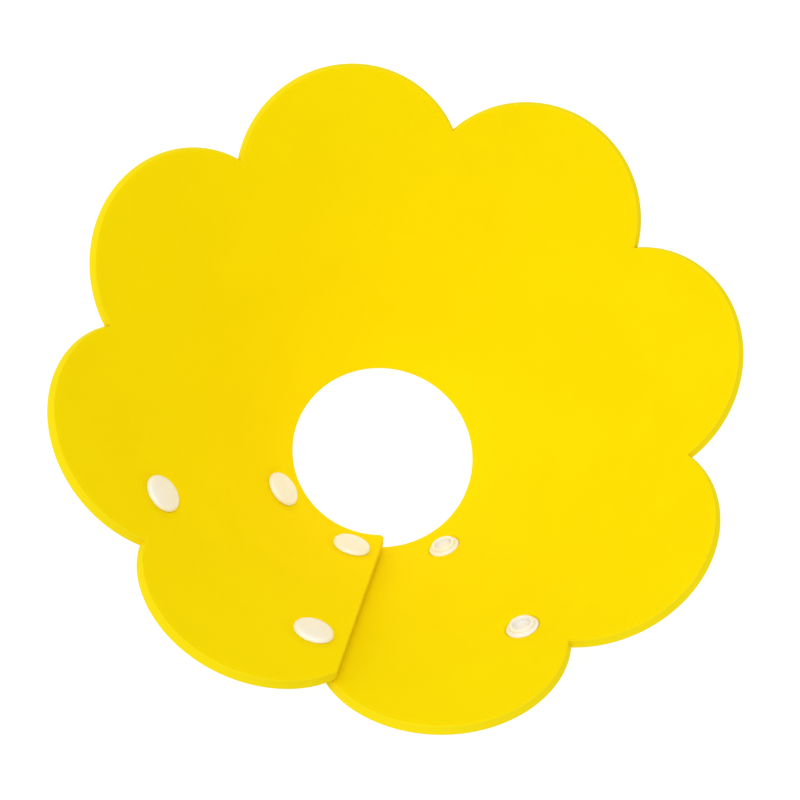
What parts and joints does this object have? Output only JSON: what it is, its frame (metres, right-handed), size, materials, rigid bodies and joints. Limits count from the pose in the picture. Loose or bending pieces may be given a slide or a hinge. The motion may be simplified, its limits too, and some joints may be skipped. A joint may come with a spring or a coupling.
{
  "type": "elizabethan collar",
  "caption": "Flower-shaped pet recovery collar: a petalled foam cone with an open neck, closed by overlapping flaps with plastic snap fasteners",
  "frame": {"origin": "on the cone's axis, in the plane of the lowest point of the neck edge, which is the middle of the bounding box's bottom within 1 mm", "axes": "+Z along the cone's axis, from the neck opening towards the wide rim; -Y towards the rim end of flap A's straight closing edge; flap A runs clockwise from there, seen from above"},
  "size_m": [0.1984, 0.1998, 0.0851],
  "materials": {
    "foam": "matte",
    "snap_plastic": "satin"
  },
  "bodies": {
    "collar_body": {"foam_body": "foam", "snap_cap_a2_inner": "snap_plastic", "snap_stud_a2_inner": "snap_plastic", "snap_cap_a2_outer": "snap_plastic", "snap_stud_a2_outer": "snap_plastic"},
    "flap_a_tip": {"foam_flap_a_tip": "foam", "snap_cap_a1_inner": "snap_plastic", "snap_stud_a1_inner": "snap_plastic", "snap_cap_a1_outer": "snap_plastic", "snap_stud_a1_outer": "snap_plastic"},
    "flap_b_root": {"foam_flap_b_root": "foam"},
    "flap_b_middle": {"foam_flap_b_middle": "foam", "snap_cap_b2_inner": "snap_plastic", "snap_socket_b2_inner": "snap_plastic", "snap_cap_b2_outer": "snap_plastic", "snap_socket_b2_outer": "snap_plastic"},
    "flap_b_tip": {"foam_flap_b_tip": "foam", "snap_cap_b1_inner": "snap_plastic", "snap_socket_b1_inner": "snap_plastic", "snap_cap_b1_outer": "snap_plastic", "snap_socket_b1_outer": "snap_plastic"}
  },
  "joints": [
    {"name": "flap_a_lift", "type": "hinge", "parent": "collar_body", "child": "flap_a_tip", "pos_m": [-0.03181, -0.05509, 0.04418], "axis": [-0.3333, -0.5774, 0.7454], "range_deg": [0, 45], "stiffness_Nm_per_rad": 0.06},
    {"name": "flap_b_open", "type": "hinge", "parent": "collar_body", "child": "flap_b_root", "pos_m": [0.06563, 0.01759, 0.04031], "axis": [0.644, 0.1725, 0.7454], "range_deg": [0, 18], "stiffness_Nm_per_rad": 0.06},
    {"name": "flap_b_open_middle", "type": "hinge", "parent": "flap_b_root", "child": "flap_b_middle", "pos_m": [0.05921, -0.03418, 0.03993], "axis": [0.5774, -0.3333, 0.7454], "range_deg": [0, 27], "stiffness_Nm_per_rad": 0.06},
    {"name": "flap_b_open_tip", "type": "hinge", "parent": "flap_b_middle", "child": "flap_b_tip", "pos_m": [0.0178, -0.06644, 0.03956], "axis": [0.1725, -0.644, 0.7454], "range_deg": [0, 36], "stiffness_Nm_per_rad": 0.06}
  ],
  "couplings": [
    {"joint": "flap_b_open_middle", "follows": "flap_b_open", "ratio": 1.5},
    {"joint": "flap_b_open_tip", "follows": "flap_b_open", "ratio": 2}
  ]
}
